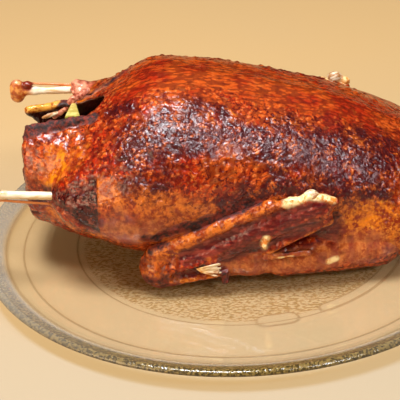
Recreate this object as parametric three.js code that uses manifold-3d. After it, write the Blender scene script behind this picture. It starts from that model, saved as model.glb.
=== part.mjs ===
// A roast duck lying on its back on a round pressed-glass plate.
// Millimetres, +Z up. The origin is the plate's centre on its underside, and the duck's tail points along -X.
import * as THREE from "three";
import Module from "manifold-3d";
import { mergeVertices } from "three/addons/utils/BufferGeometryUtils.js";

const wasm = await Module();
wasm.setup();

// Driving dimensions

const GAP = 0.3; // left between pieces that touch

const PLATE = {
  radius: 157.5,
  height: 12.5,
  discRadius: 100, // the sunk disc in the middle that the duck lies on
  discTop: 5,
  flatRadius: 133.5,
  flatTop: 5.5,
  segments: 64,
};

const DUCK_FLOOR = PLATE.discTop + GAP;

const TRUNK = {
  vent: -126, // where the tail end is cut off
  peak: -38, // where the breast is highest
  nose: 138, // the neck end
  noseStart: 40,
  ventHalf: 30, // half the width at the tail end
  half: 63, // half the width of the body
  fullFrom: -48, // where it reaches that width
  aside: 1, // how far its middle lies off the X axis at the tail end
  lean: 3, // and how much further under the breast
  ventTop: 96.5,
  top: 119,
  riseStart: -100, // where the belly starts to rise from the opening to the breast
  riseEnd: -42,
  noseDrop: 27,
  ventLow: 31, // height of the underside at the tail end
  tailDrop: 15, // how far it comes down behind the thighs
  tailSpan: [-134, -86],
  backDrop: 14, // and then under them
  backSpan: [-78, -28],
  neckLift: 12,
  neckSpan: [70, 135],
  middle: 48, // height of the widest line at the neck end
  middleRise: 16, // how much higher it is at the tail end
  middleSpan: [-60, 120],
  square: 2.25, // 2 is an ellipse, more is squarer
  keel: 1.5,
};

const NEAR_LEG = {
  thigh: [-38, -34, 59],
  turn: 4,
  knee: [-64, -38, 60],
  shin: [-90, -40, 58],
  tip: [-105, -41, 61.8],
  boneRoot: [-97, -41.3, 61.4],
  kneeRadius: 26,
  shinRadius: 18.5,
  boneEnd: [-148.5, -38, 63.8],
  strandRoot: [-111, -40, 56.5],
  strandEnd: [-147, -38, 60.5],
};

const FAR_LEG = {
  thigh: [-38, 40, 62],
  turn: -4,
  knee: [-60, 44, 66],
  shin: [-78, 50, 78],
  tip: [-95, 54, 86],
  boneRoot: [-86, 54, 85.2],
  kneeRadius: 24,
  shinRadius: 14,
  boneEnd: [-133.6, 55, 86.2],
  strandRoot: [-98, 55, 88.5],
  strandEnd: [-131, 55, 91.5],
};

const THIGH_HALF = [58, 27, 36];
const TIP_RADIUS = 5.8;
const SHAFT_RADIUS = 2.5;
const KNUCKLE = { half: [4.6, 4.2, 5.2], spread: 2.6, flare: 11 };
const STRAND_RADIUS = 0.9;

const NEAR_WING = {
  out: -1, // the side of the body, along Y
  elbow: [-49, -53, 18],
  wrist: [44, -61, 57],
  shoulder: [90, -40, 31],
  low: [6, -52, 20.5],
  crook: [4, -55, 27],
  knob: [39.4, -62, 64.5],
};

const FAR_WING = {
  out: 1,
  elbow: [-40, 66, 32],
  wrist: [63, 63, 70],
  shoulder: [92, 46, 44],
  low: [10, 62, 34],
  crook: [12, 66, 42],
  knob: [65, 65, 79.8],
};

const FOREARM = { elbowRadius: 11.5, wristRadius: 8.5 };
const UPPER_ARM = { elbowRadius: 11, lowRadius: 9, shoulderRadius: 17 };
const WEB = { reach: 0.7, half: 8 }; // the flesh between forearm and upper arm
// The flesh that hangs below the upper arm: share of the way to the shoulder, outwards, upwards and its radius
const UNDER_ARM = [
  { share: 0.21, out: 1.5, up: -3.7, radius: 11.5 },
  { share: 0.86, out: 2.3, up: -6, radius: 16 },
];
// Torn strips of skin on the wing: share of the way from elbow to wrist, then outwards and upwards
const SKIN_STRIPS = [
  { from: [-0.02, 4.5, 12.5], to: [0.7, 3, 13.5], radius: 6 },
  { from: [0.06, 9, 0], to: [0.36, 8, -6], radius: 2.6 },
  { from: [0.08, 8, -8], to: [0.38, 8, -15], radius: 2.6 },
];
const KNOB_HALF = [5, 3.6, 4.2];
const WING_LIFT = 0.6; // the wings clear the plate by this much more than the back

const CAVITY = { centre: [-112, 1, 84], half: [62, 13, 27], slope: -8 };
const SCOOP = { centre: [-128, 20, 70], half: [12, 14, 20] }; // the tail end is cut back here, below its far lip
const APPLE = {
  foot: [-96, 2, 73.5],
  height: 22,
  edgeWidth: 3.2,
  edgeY: 12,
  peelWidth: 9.6,
  peelY: -7,
  bulgeY: -12,
};
const NECK_FOLD = { from: [106, -24, 30], to: [108, 24, 31], radius: 13 };

const BODY_CELL = 7.2; // size of the facets on the body
const WING_CELL = 4.5;
const TIP_CELL = 3.8;
const CAVITY_CELL = 4.5;
const BODY_MARGIN = 22; // room round a shape for its facets
const LIMB_MARGIN = 22;

// How widely two shapes run into each other
const BLEND = {
  thigh: 14,
  leg: 10,
  fold: 14,
  shoulder: 16,
  arm: 8,
  flesh: 5,
  strip: 3,
  floor: 3,
  vent: 6,
  scoop: 2,
};

// Vectors as plain arrays

const add = (a, b) => a.map((value, i) => value + b[i]);
const subtract = (a, b) => a.map((value, i) => value - b[i]);
const dot = (a, b) => a[0] * b[0] + a[1] * b[1] + a[2] * b[2];
const cross = (a, b) => [
  a[1] * b[2] - a[2] * b[1],
  a[2] * b[0] - a[0] * b[2],
  a[0] * b[1] - a[1] * b[0],
];
const between = (a, b, share) => a.map((value, i) => value + (b[i] - value) * share);
const clamp = (value, low, high) => Math.min(Math.max(value, low), high);

function smoothStep(low, high, value) {
  const t = clamp((value - low) / (high - low), 0, 1);
  return t * t * (3 - 2 * t);
}

// Distance fields: a shape is a function of a point, below zero inside and above zero outside

function join(a, b, blend) {
  const h = clamp(0.5 + (0.5 * (b - a)) / blend, 0, 1);
  return b + (a - b) * h - blend * h * (1 - h);
}

function cut(a, b, blend) {
  return -join(-a, b, blend);
}

// A point seen from centre, turned about Z and then about Y, in degrees
function local(point, centre, turn, slope) {
  const [x, y, z] = subtract(point, centre);
  const t = THREE.MathUtils.degToRad(turn);
  const s = THREE.MathUtils.degToRad(slope);
  const forward = x * Math.cos(t) + y * Math.sin(t);
  const side = -x * Math.sin(t) + y * Math.cos(t);
  return [
    forward * Math.cos(s) + z * Math.sin(s),
    side,
    -forward * Math.sin(s) + z * Math.cos(s),
  ];
}

function ellipsoid(point, centre, half, turn, slope) {
  const q = local(point, centre, turn, slope);
  const scaled = Math.hypot(q[0] / half[0], q[1] / half[1], q[2] / half[2]);
  const slopeLength = Math.hypot(q[0] / half[0] ** 2, q[1] / half[1] ** 2, q[2] / half[2] ** 2);
  return (scaled * (scaled - 1)) / Math.max(slopeLength, 1e-6);
}

// A rod from a to b whose radius goes from startRadius to endRadius
function limb(point, a, b, startRadius, endRadius) {
  const axis = subtract(b, a);
  const share = clamp(dot(subtract(point, a), axis) / dot(axis, axis), 0, 1);
  const away = subtract(point, between(a, b, share));
  return Math.hypot(...away) - (startRadius + (endRadius - startRadius) * share);
}

// A flat triangle of flesh between three points
function web(point, corners, radius) {
  const sides = corners.map((corner, i) => subtract(corners[(i + 1) % 3], corner));
  const normal = cross(sides[0], subtract(corners[2], corners[0]));
  const inside = corners.every(
    (corner, i) => dot(subtract(point, corner), cross(normal, sides[i])) >= 0,
  );
  if (inside) {
    return Math.abs(dot(subtract(point, corners[0]), normal)) / Math.hypot(...normal) - radius;
  }
  return Math.min(...corners.map((corner, i) => limb(point, corner, corners[(i + 1) % 3], radius, radius)));
}

// The body from the cut tail end to the rounded neck end, a superellipse at each place along X
function trunk([x, y, z]) {
  const rear = smoothStep(TRUNK.vent - 5, TRUNK.fullFrom, x);
  const nose = clamp((x - TRUNK.noseStart) / (TRUNK.nose - TRUNK.noseStart), 0, 0.9999);
  const narrowing = (1 - nose ** 2.4) ** 0.45;
  const half = (TRUNK.ventHalf + (TRUNK.half - TRUNK.ventHalf) * rear) * narrowing;
  const fall = Math.max((x - TRUNK.peak) / 110, 0) ** 1.4;
  const rise = (TRUNK.top - TRUNK.ventTop) * smoothStep(TRUNK.riseStart, TRUNK.riseEnd, x);
  const keel = TRUNK.keel * Math.exp(-((y / 9) ** 2)) * smoothStep(TRUNK.peak - 20, 20, x);
  const top = TRUNK.ventTop + rise - TRUNK.noseDrop * fall + keel;
  const tailDrop = TRUNK.tailDrop * smoothStep(...TRUNK.tailSpan, x);
  const backDrop = TRUNK.backDrop * smoothStep(...TRUNK.backSpan, x);
  const neckLift = TRUNK.neckLift * smoothStep(...TRUNK.neckSpan, x);
  const low = TRUNK.ventLow - tailDrop - backDrop + neckLift;
  const middle = TRUNK.middle + TRUNK.middleRise * (1 - smoothStep(...TRUNK.middleSpan, x));
  const tall = Math.max((z > middle ? top - middle : middle - low) * narrowing, 1);
  const across = Math.abs((y - TRUNK.aside - TRUNK.lean * rear) / half) ** TRUNK.square;
  const upright = Math.abs((z - middle) / tall) ** TRUNK.square;
  const size = (across + upright) ** (1 / TRUNK.square);
  const skin = Math.max((size - 1) * Math.min(half, tall), x - TRUNK.nose);
  return cut(skin, x - TRUNK.vent, BLEND.vent);
}

function legFlesh(point, leg) {
  const thigh = ellipsoid(point, leg.thigh, THIGH_HALF, leg.turn, 4);
  const shin = limb(point, leg.knee, leg.shin, leg.kneeRadius, leg.shinRadius);
  return join(thigh, shin, BLEND.thigh);
}

// A wing folded against the body: the forearm runs up from the elbow, the upper arm runs back along the plate
function wing(point, arm) {
  const { out, elbow, wrist, shoulder, low, crook } = arm;
  const forearm = limb(point, elbow, wrist, FOREARM.elbowRadius, FOREARM.wristRadius);
  const flesh = web(point, [elbow, crook, between(elbow, wrist, WEB.reach)], WEB.half);
  const upperArm = join(
    limb(point, elbow, low, UPPER_ARM.elbowRadius, UPPER_ARM.lowRadius),
    limb(point, low, shoulder, UPPER_ARM.lowRadius, UPPER_ARM.shoulderRadius),
    BLEND.arm,
  );
  const [from, to] = UNDER_ARM.map((end) =>
    add(between(low, shoulder, end.share), [0, out * end.out, end.up]),
  );
  const hanging = limb(point, from, to, UNDER_ARM[0].radius, UNDER_ARM[1].radius);
  const arms = join(join(forearm, flesh, BLEND.flesh), upperArm, BLEND.flesh);
  const bare = join(arms, hanging, BLEND.flesh);
  const along = subtract(wrist, elbow);
  const strips = SKIN_STRIPS.map(({ from, to, radius }) => {
    const end = ([share, outward, up]) => {
      const onArm = add(elbow, along.map((value) => value * share));
      return add(onArm, [0, out * outward, up]);
    };
    return limb(point, end(from), end(to), radius, radius * 0.8);
  });
  return strips.reduce((shape, strip) => join(shape, strip, BLEND.strip), bare);
}

// The flesh that carries the upper arm over into the breast
function shoulder(point, arm) {
  return limb(point, between(arm.low, arm.shoulder, 0.62), arm.shoulder, 11, UPPER_ARM.shoulderRadius);
}

function aboveFloor(shape, point, floor) {
  return cut(shape, point[2] - floor, BLEND.floor);
}

function body(point) {
  const legs = join(legFlesh(point, NEAR_LEG), legFlesh(point, FAR_LEG), 1);
  const fold = limb(point, NECK_FOLD.from, NECK_FOLD.to, NECK_FOLD.radius, NECK_FOLD.radius);
  const shoulders = join(shoulder(point, NEAR_WING), shoulder(point, FAR_WING), 1);
  const legged = join(trunk(point), legs, BLEND.leg);
  const whole = join(join(legged, fold, BLEND.fold), shoulders, BLEND.shoulder);
  return aboveFloor(whole, point, DUCK_FLOOR);
}

function cavity(point) {
  const opening = ellipsoid(point, CAVITY.centre, CAVITY.half, 0, CAVITY.slope);
  return join(opening, ellipsoid(point, SCOOP.centre, SCOOP.half, 0, 0), BLEND.scoop);
}

// Turning a field into facets

// One vertex in each cell that the surface crosses, and one quad across each grid edge that it crosses
function polygonise(field, low, high, cell) {
  const count = low.map((value, i) => Math.ceil((high[i] - value) / cell) + 1);
  const at = (i, j, k) => (i * count[1] + j) * count[2] + k;
  const values = new Float64Array(count[0] * count[1] * count[2]);
  const place = (index) => low.map((value, i) => value + cell * index[i]);
  const eachIndex = (visit) => {
    for (let i = 0; i < count[0]; i++) {
      for (let j = 0; j < count[1]; j++) {
        for (let k = 0; k < count[2]; k++) visit([i, j, k]);
      }
    }
  };
  eachIndex((index) => {
    values[at(...index)] = field(place(index));
  });
  const steps = [[1, 0, 0], [0, 1, 0], [0, 0, 1]];

  // A square of the grid with opposite corners inside and the other two outside would give an edge with four
  // faces, so its nearer outside corner counts as just inside
  let settled = false;
  while (!settled) {
    settled = true;
    eachIndex((index) => {
      for (let axis = 0; axis < 3; axis++) {
        const [u, v] = [steps[(axis + 1) % 3], steps[(axis + 2) % 3]];
        const square = [index, add(index, u), add(add(index, u), v), add(index, v)];
        if (square.some((corner) => corner.some((value, i) => value >= count[i]))) continue;
        const corners = square.map((corner) => at(...corner));
        const [a, b, c, d] = corners.map((corner) => values[corner] < 0);
        if (a !== c || b !== d || a === b) continue;
        const outside = corners.filter((corner) => values[corner] >= 0);
        const nearer = values[outside[0]] < values[outside[1]] ? outside[0] : outside[1];
        values[nearer] = -cell / 20;
        settled = false;
      }
    });
  }

  const vertexOf = new Map();
  const positions = [];
  const crossing = (from, axis) => {
    const to = add(from, steps[axis]);
    const start = values[at(...from)];
    const end = values[at(...to)];
    if (start < 0 === end < 0) return null;
    return between(place(from), place(to), start / (start - end));
  };
  eachIndex((index) => {
    if (index.some((value, i) => value + 1 >= count[i])) return;
    const crossings = [];
    for (let axis = 0; axis < 3; axis++) {
      const [u, v] = [steps[(axis + 1) % 3], steps[(axis + 2) % 3]];
      for (const corner of [index, add(index, u), add(index, v), add(add(index, u), v)]) {
        const point = crossing(corner, axis);
        if (point) crossings.push(point);
      }
    }
    if (crossings.length === 0) return;
    const sum = crossings.reduce(add);
    vertexOf.set(at(...index), positions.length / 3);
    positions.push(...sum.map((value) => value / crossings.length));
  });

  const corner = (n) => new THREE.Vector3(...positions.slice(3 * n, 3 * n + 3));
  const triangles = [];
  eachIndex((index) => {
    for (let axis = 0; axis < 3; axis++) {
      const [u, v] = [steps[(axis + 1) % 3], steps[(axis + 2) % 3]];
      if (index[axis] + 1 >= count[axis] || !crossing(index, axis)) continue;
      const around = [index, subtract(index, u), subtract(subtract(index, u), v), subtract(index, v)];
      const ring = around.map((position) => vertexOf.get(at(...position)));
      if (values[at(...index)] > 0) ring.reverse();
      const [a, b, c, d] = ring;
      const acrossFirst = corner(a).distanceTo(corner(c)) < corner(b).distanceTo(corner(d));
      triangles.push(...(acrossFirst ? [a, b, c, a, c, d] : [a, b, d, b, c, d]));
    }
  });
  return solid(positions, triangles);
}

// Solids that can be joined and cut

function solid(positions, triangles) {
  const mesh = new wasm.Mesh({
    numProp: 3,
    vertProperties: new Float32Array(positions),
    triVerts: new Uint32Array(triangles),
  });
  return new wasm.Manifold(mesh);
}

function solidOf(geometry) {
  geometry.deleteAttribute("normal");
  geometry.deleteAttribute("uv");
  const merged = mergeVertices(geometry, 1e-4);
  return solid(merged.attributes.position.array, merged.index.array);
}

function geometryOf(shape) {
  const { vertProperties, triVerts } = shape.getMesh();
  const geometry = new THREE.BufferGeometry();
  geometry.setAttribute("position", new THREE.Float32BufferAttribute(vertProperties, 3));
  geometry.setIndex(Array.from(triVerts));
  return geometry;
}

function ball(centre, half) {
  const sphere = new THREE.SphereGeometry(1, 10, 7);
  sphere.scale(...half);
  sphere.translate(...centre);
  return solidOf(sphere);
}

// A closed lathe whose axis runs from a to b, its profile given as pairs of radius and distance from a
function turned(a, b, profile, segments) {
  const direction = new THREE.Vector3(...subtract(b, a)).normalize();
  const shape = new THREE.LatheGeometry(profile.map(([r, h]) => new THREE.Vector2(r, h)), segments);
  shape.applyQuaternion(new THREE.Quaternion().setFromUnitVectors(new THREE.Vector3(0, 1, 0), direction));
  shape.translate(...a);
  return solidOf(shape);
}

// A bare leg bone: a straight shaft that flares into a two-lobed knuckle, and the thin strand beside it.
// grow makes it larger all round, for the socket that holds it.
function legBone(leg, grow = 0) {
  const length = Math.hypot(...subtract(leg.boneEnd, leg.boneRoot));
  const shaft = SHAFT_RADIUS + grow;
  const flare = length - KNUCKLE.flare;
  const profile = [
    [0, -grow],
    [shaft, -grow],
    [shaft, flare],
    [shaft * 1.15, flare + 4],
    [shaft * 1.55, flare + 8],
    [shaft * 1.6, length],
    [0, length + 1],
  ];
  const half = KNUCKLE.half.map((value) => value + grow);
  const lobes = [-1, 1].map((side) => ball(add(leg.boneEnd, [0, 0, side * KNUCKLE.spread]), half));
  const strand = rod(leg.strandRoot, leg.strandEnd, STRAND_RADIUS + grow, 6);
  const pieces = [...lobes, strand];
  return pieces.reduce((bone, piece) => bone.add(piece), turned(leg.boneRoot, leg.boneEnd, profile, 12));
}

function rod(a, b, radius, segments) {
  const length = Math.hypot(...subtract(b, a));
  return turned(a, b, [[0, 0], [radius, 0], [radius, length], [0, length]], segments);
}

// The white cap of gristle on the end of a folded wing
function wingKnob(arm, grow = 0) {
  const half = KNOB_HALF.map((value) => value + grow);
  const second = add(arm.knob, [6, 0, -3]);
  return ball(arm.knob, half).add(ball(second, half.map((value) => value * 0.8)));
}

// A wedge of apple standing in the opening, with its thin edge towards +Y
function appleWedge(grow = 0) {
  const { edgeWidth, edgeY, peelWidth, peelY, bulgeY } = APPLE;
  const outline = new THREE.Shape();
  outline.moveTo(edgeWidth / 2 + grow, edgeY + grow);
  outline.lineTo(-edgeWidth / 2 - grow, edgeY + grow);
  outline.lineTo(-peelWidth / 2 - grow, peelY - grow);
  outline.quadraticCurveTo(0, bulgeY - grow, peelWidth / 2 + grow, peelY - grow);
  outline.closePath();
  const depth = APPLE.height + 2 * grow;
  const wedge = new THREE.ExtrudeGeometry(outline, { depth, bevelEnabled: false, curveSegments: 6 });
  wedge.translate(...add(APPLE.foot, [0, 0, -grow]));
  return solidOf(wedge);
}

// The lowest and highest corners of a box round some points, with a margin on every side
function boxRound(points, margin) {
  const low = [0, 1, 2].map((i) => Math.min(...points.map((point) => point[i])) - margin);
  const high = [0, 1, 2].map((i) => Math.max(...points.map((point) => point[i])) + margin);
  return [low, high];
}

function wingSolid(arm) {
  const field = (point) => aboveFloor(wing(point, arm), point, DUCK_FLOOR + WING_LIFT);
  return polygonise(field, ...boxRound([arm.elbow, arm.wrist, arm.shoulder], LIMB_MARGIN), WING_CELL);
}

function tipSolid(leg) {
  const field = (point) => limb(point, leg.shin, leg.tip, leg.shinRadius - 2, TIP_RADIUS);
  return polygonise(field, ...boxRound([leg.shin, leg.tip], LIMB_MARGIN), TIP_CELL);
}

function cavitySolid() {
  const reach = CAVITY.half.map((value) => value + 2 * CAVITY_CELL);
  return polygonise(cavity, subtract(CAVITY.centre, reach), add(CAVITY.centre, reach), CAVITY_CELL);
}

function duck() {
  const corners = [
    [TRUNK.vent, -TRUNK.half, 0],
    [TRUNK.nose, TRUNK.half, TRUNK.top],
  ];
  const parts = [
    polygonise(body, ...boxRound(corners, BODY_MARGIN), BODY_CELL),
    wingSolid(NEAR_WING),
    wingSolid(FAR_WING),
    tipSolid(NEAR_LEG),
    tipSolid(FAR_LEG),
  ];
  const whole = parts.reduce((sum, part) => sum.add(part));
  const sockets = [
    legBone(NEAR_LEG, GAP),
    legBone(FAR_LEG, GAP),
    wingKnob(NEAR_WING, GAP),
    wingKnob(FAR_WING, GAP),
    appleWedge(GAP),
  ];
  return sockets.reduce((rest, socket) => rest.subtract(socket), whole.subtract(cavitySolid()));
}

// Half the section of the plate, from the middle of its underside round its rim to the middle of its top
function plateGeometry() {
  const { radius, height, discRadius, discTop, flatRadius, flatTop, segments } = PLATE;
  const section = [
    [0, 0],
    [flatRadius - 2, 0],
    [flatRadius + 7, 1.4],
    [radius - 9, 4.6],
    [radius - 2, 8.2],
    [radius, 10],
    [radius - 0.9, height - 0.7],
    [radius - 3, height],
    [radius - 5.2, height - 0.9],
    [radius - 12, 9.2],
    [flatRadius + 5, flatTop + 1],
    [flatRadius, flatTop],
    [discRadius + 0.6, flatTop],
    [discRadius, discTop],
    [0, discTop],
  ];
  const points = section.map(([r, h]) => new THREE.Vector2(r, h));
  const plate = new THREE.LatheGeometry(points, segments);
  plate.rotateX(Math.PI / 2);
  return geometryOf(solidOf(plate));
}

// Materials

const glass = new THREE.MeshStandardMaterial({
  color: 0xcfc7a4,
  roughness: 0.05,
  metalness: 0,
  transparent: true,
  opacity: 0.4,
});
const roastSkin = new THREE.MeshStandardMaterial({ color: 0x8a3212, roughness: 0.35, metalness: 0 });
const bone = new THREE.MeshStandardMaterial({ color: 0xd9cdb6, roughness: 0.4, metalness: 0 });
const gristle = new THREE.MeshStandardMaterial({ color: 0xe4dccb, roughness: 0.3, metalness: 0 });
const apple = new THREE.MeshStandardMaterial({ color: 0xcabb62, roughness: 0.5, metalness: 0 });

function named(name, geometry, material) {
  const mesh = new THREE.Mesh(geometry, material);
  mesh.name = name;
  return mesh;
}

const roastDuckOnPlate = new THREE.Group();
roastDuckOnPlate.add(
  named("plate", plateGeometry(), glass),
  named("duck", geometryOf(duck()), roastSkin),
  named("leg_bone_near", geometryOf(legBone(NEAR_LEG)), bone),
  named("leg_bone_far", geometryOf(legBone(FAR_LEG)), bone),
  named("wing_knob_near", geometryOf(wingKnob(NEAR_WING)), gristle),
  named("wing_knob_far", geometryOf(wingKnob(FAR_WING)), gristle),
  named("apple_wedge", geometryOf(appleWedge()), apple),
);

export default roastDuckOnPlate;
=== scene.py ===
"""Roast duck on a pressed-glass plate: the finish of every surface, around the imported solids."""
import math

import bpy
import numpy as np
from mathutils import Matrix, Vector, noise


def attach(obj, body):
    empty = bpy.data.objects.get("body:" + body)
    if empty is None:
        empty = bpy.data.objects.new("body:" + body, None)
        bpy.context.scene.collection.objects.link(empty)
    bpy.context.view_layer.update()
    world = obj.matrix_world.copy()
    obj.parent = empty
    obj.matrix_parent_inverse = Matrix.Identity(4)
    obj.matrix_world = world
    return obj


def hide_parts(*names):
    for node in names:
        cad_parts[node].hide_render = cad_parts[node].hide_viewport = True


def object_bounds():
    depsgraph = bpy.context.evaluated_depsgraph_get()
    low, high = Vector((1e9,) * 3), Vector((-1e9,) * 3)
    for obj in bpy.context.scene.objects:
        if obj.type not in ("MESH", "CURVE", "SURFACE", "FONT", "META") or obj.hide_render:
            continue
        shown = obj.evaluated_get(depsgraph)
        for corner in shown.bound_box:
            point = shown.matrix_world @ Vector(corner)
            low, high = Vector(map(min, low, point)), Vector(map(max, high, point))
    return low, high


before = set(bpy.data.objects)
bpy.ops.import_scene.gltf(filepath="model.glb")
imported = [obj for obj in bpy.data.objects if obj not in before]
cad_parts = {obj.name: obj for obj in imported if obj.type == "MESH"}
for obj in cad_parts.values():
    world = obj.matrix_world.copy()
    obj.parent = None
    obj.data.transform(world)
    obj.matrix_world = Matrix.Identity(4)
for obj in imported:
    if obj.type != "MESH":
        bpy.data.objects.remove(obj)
cad_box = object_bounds()

MM = 0.001

# Sizes in millimetres, the same as the solids'
GAP = 0.3
PLATE_RADIUS = 157.5
DISC_RADIUS = 100.0
DISC_TOP = 5.0
FLAT_RADIUS = 133.5
FLAT_TOP = 5.5
RIM_TOP = 12.5
DUCK_FLOOR = DISC_TOP + GAP

TRUNK = {
    "vent": -126, "peak": -38, "nose": 138, "nose_start": 40, "vent_half": 30, "half": 63,
    "vent_top": 96.5, "top": 119, "rise_start": -100, "rise_end": -42, "nose_drop": 27,
    "vent_low": 31, "tail_drop": 15, "back_drop": 14, "neck_lift": 12, "middle": 48, "square": 2.25,
    "keel": 1.5, "full_from": -48, "aside": 1, "lean": 3, "tail_span": (-134, -86),
    "back_span": (-78, -28), "neck_span": (70, 135), "middle_rise": 16, "middle_span": (-60, 120),
}
NEAR_LEG = {
    "thigh": (-38, -34, 59), "turn": 4, "knee": (-64, -38, 60), "shin": (-90, -40, 58),
    "tip": (-105, -41, 61.8), "knee_radius": 26, "shin_radius": 18.5,
    "bone_root": (-97, -41.3, 61.4), "bone_end": (-148.5, -38, 63.8),
    "strand_root": (-111, -40, 56.5), "strand_end": (-147, -38, 60.5),
}
FAR_LEG = {
    "thigh": (-38, 40, 62), "turn": -4, "knee": (-60, 44, 66), "shin": (-78, 50, 78),
    "tip": (-95, 54, 86), "knee_radius": 24, "shin_radius": 14,
    "bone_root": (-86, 54, 85.2), "bone_end": (-133.6, 55, 86.2),
    "strand_root": (-98, 55, 88.5), "strand_end": (-131, 55, 91.5),
}
THIGH_HALF = (58, 27, 36)
THIGH_SLOPE = 4
TIP_RADIUS = 5.8
NEAR_WING = {
    "out": -1, "elbow": (-49, -53, 18), "wrist": (44, -61, 57), "shoulder": (90, -40, 31),
    "low": (6, -52, 20.5), "crook": (4, -55, 27), "knob": (39.4, -62, 64.5),
}
FAR_WING = {
    "out": 1, "elbow": (-40, 66, 32), "wrist": (63, 63, 70), "shoulder": (92, 46, 44),
    "low": (10, 62, 34), "crook": (12, 66, 42), "knob": (65, 65, 79.8),
}
# Radii of the wing's limbs: at the elbow, then at the other end
FOREARM = (11.5, 8.5)
LOWER_ARM = (11, 9)
UPPER_ARM = (9, 17)
WEB_REACH = 0.7
WEB_HALF = 8
# Where the flesh of the shoulder starts on the upper arm, and its radius there
SHOULDER_START = 0.62
SHOULDER_ROOT = 11
SKIN_STRIPS = (
    ((-0.02, 4.5, 12.5), (0.7, 3, 13.5), 6.0),
    ((0.06, 9, 0), (0.36, 8, -6), 2.6),
    ((0.08, 8, -8), (0.38, 8, -15), 2.6),
)
STRIP_TAPER = 0.8
# The flesh that hangs below the upper arm: share of the way to the shoulder, outwards, upwards, radius
UNDER_ARM = ((0.21, 1.5, -3.7, 11.5), (0.86, 2.3, -6, 16))
WING_LIFT = 0.6
WING_DEPTH = 2
KNOB_HALF = (5, 3.6, 4.2)
SECOND_KNOB = (6, 0, -3)
SECOND_SHARE = 0.8
SHAFT_RADIUS = 2.5
KNUCKLE = {"half": (4.6, 4.2, 5.2), "spread": 2.6, "flare": 11, "widening": 1.5,
           "lump": (6.5, -0.5, 4.2), "lump_half": (3.4, 2.6, 2.4)}
STRAND_RADIUS = 0.9
CAVITY = {"centre": (-112, 1, 84), "half": (62, 13, 27), "slope": -8}
SCOOP = {"centre": (-128, 20, 70), "half": (12, 14, 20)}
APPLE = {"foot": (-96, 2, 73.5), "height": 22, "edge_width": 3.2, "edge_y": 12, "peel_width": 9.6,
         "peel_y": -7, "bulge_y": -12}
NECK_FOLD = {"from": (106, -24, 30), "to": (108, 24, 31), "radius": 13}
BLEND = {"thigh": 14, "leg": 10, "fold": 14, "shoulder": 16, "arm": 8, "flesh": 5, "strip": 3,
         "tip": 4, "vent": 6, "cavity": 3, "scoop": 2, "floor": 2, "rim": 3, "groove": 1.5,
         "ridge": 1, "wing_root": 0.5, "wing_floor": 1, "bone": 2, "lump": 1, "strand": 0.6,
         "knob": 2, "cord": 0.4, "torn_skin": 0.8, "edge": 1.0, "peel": 1.2}

# The edges of the opening: from, to, radius
RIMS = (
    ((-121, -14.5, 92.5), (-108, -14, 95), 2.8),
    ((-108, -14, 95), (-86, -15, 97.5), 2.6),
    ((-123, 15.5, 91), (-108, 15.5, 93), 2.8),
    ((-107, 15, 93), (-101, 15, 94.5), 2.4),
)

# The golden lip of skin on the far edge
FAR_LIP = ((-124, 16, 94), (-109, 16, 96))
FAR_LIP_RADIUS = 5.5

# On a wing a place is the share of the way from elbow to wrist, how far out, and how far up
KNOB_SKIN = (((0.79, 3, 11.2), (0.93, 2.5, 9), 4.0), ((0.93, 2.5, 9), (1.09, 1, 0), 3.6))
GROOVE = ((0.1, 11.5, -5), (0.27, 11, -6.5), 2.6)
FAT_BIT = ((0.668, 8.4, -3.2), (0.655, 8.4, -7.8), 2.4)
DRIP = ((0.41, 6.5, -16), (0.41, 7, -21.5), 2.9)
EDGES = (((0.68, 6.5, -13.5), (1.07, 4, -10.5), 1.6), ((0.66, 6, -16.5), (0.93, 2.5, -25.5), 2.4))
FLAP = ((0.5, 4, -3), (0.68, 6, -12.5), (1.06, 4, -9))
FLAP_HALF = 2.2
FAN = {"root": ((0.23, 10.4, -4.4), (0.26, 10.4, -7.8)), "end": ((0.366, 10.2, -6.4), (0.366, 10.2, -14.2)),
       "count": 8, "root_radius": 0.5, "end_radius": 0.8}

# The torn strand of skin across the opening, and the scrap of fat in it
STRAND = ((-108, 13.5, 87), (-101, 13.5, 92), (-96.5, 15, 97), (-88, 23, 98.5))
STRAND_ENDS = (2.1, 2.3)
SCRAP = {"centre": (-110, 12, 88.8), "half": (6.2, 1.6, 1.8), "turn": 10, "slope": 12}

# The near drumstick's dark patch: its straight edge along X, and its upper and lower borders
PATCH = {"edge": -82, "tail": -112, "length": 30, "top": 66, "top_rise": 13, "low": 59, "low_fall": 17}

# Sizes of the meshes' cells, and the box that holds the body
BODY_CELL = 1.22
NEAR_WING_CELL = 0.85
FAR_WING_CELL = 1.2
SMALL_CELL = 0.42
WING_MARGIN = 22
BODY_LOW = (-132, -74, 2)
BODY_HIGH = (142, 80, 124)
COARSE_STEPS = 4
# How far apart, in wavelengths, noises of following seeds are read
SEED_SHIFT = (17.3, 5.1, 9.7)

# Camera and light, from the rings of the plate as the photograph shows them
CAMERA_PLACE = (-23.6, -869.6, 503.0)
CAMERA_PITCH = 28.43
CAMERA_ROLL = 2.98
CAMERA_LENS = 146.25
CAMERA_SENSOR = 36
HORIZON = (0.05, 0.032, 0.016, 1)
ZENITH = (0.3, 0.26, 0.2, 1)

# Each soft light: its place, what it points at, its sides, its power and its colour
LIGHTS = {
    "window": ((-220, -220, 1500), (0, 0, 60), (600, 400), 34, (0.93, 0.96, 1.0)),
    "lamp": ((700, -920, 1060), (30, 0, 60), (320, 220), 9, (0.94, 0.97, 1.0)),
    "fill": ((-850, -700, 420), (0, 0, 50), (700, 500), 6.5, (1.0, 0.76, 0.5)),
}
FLOOR_HALF = 4000
FLOOR_DROP = 0.4


def paint(red, green, blue):
    """A colour given as it looks on a screen, 0 to 255, as the linear colour that a shader takes."""
    channels = [value / 255 for value in (red, green, blue)]
    linear = [c / 12.92 if c <= 0.04045 else ((c + 0.055) / 1.055) ** 2.4 for c in channels]
    return (*linear, 1)


# Distances to the duck's shape, with arrays of points in millimetres

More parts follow.
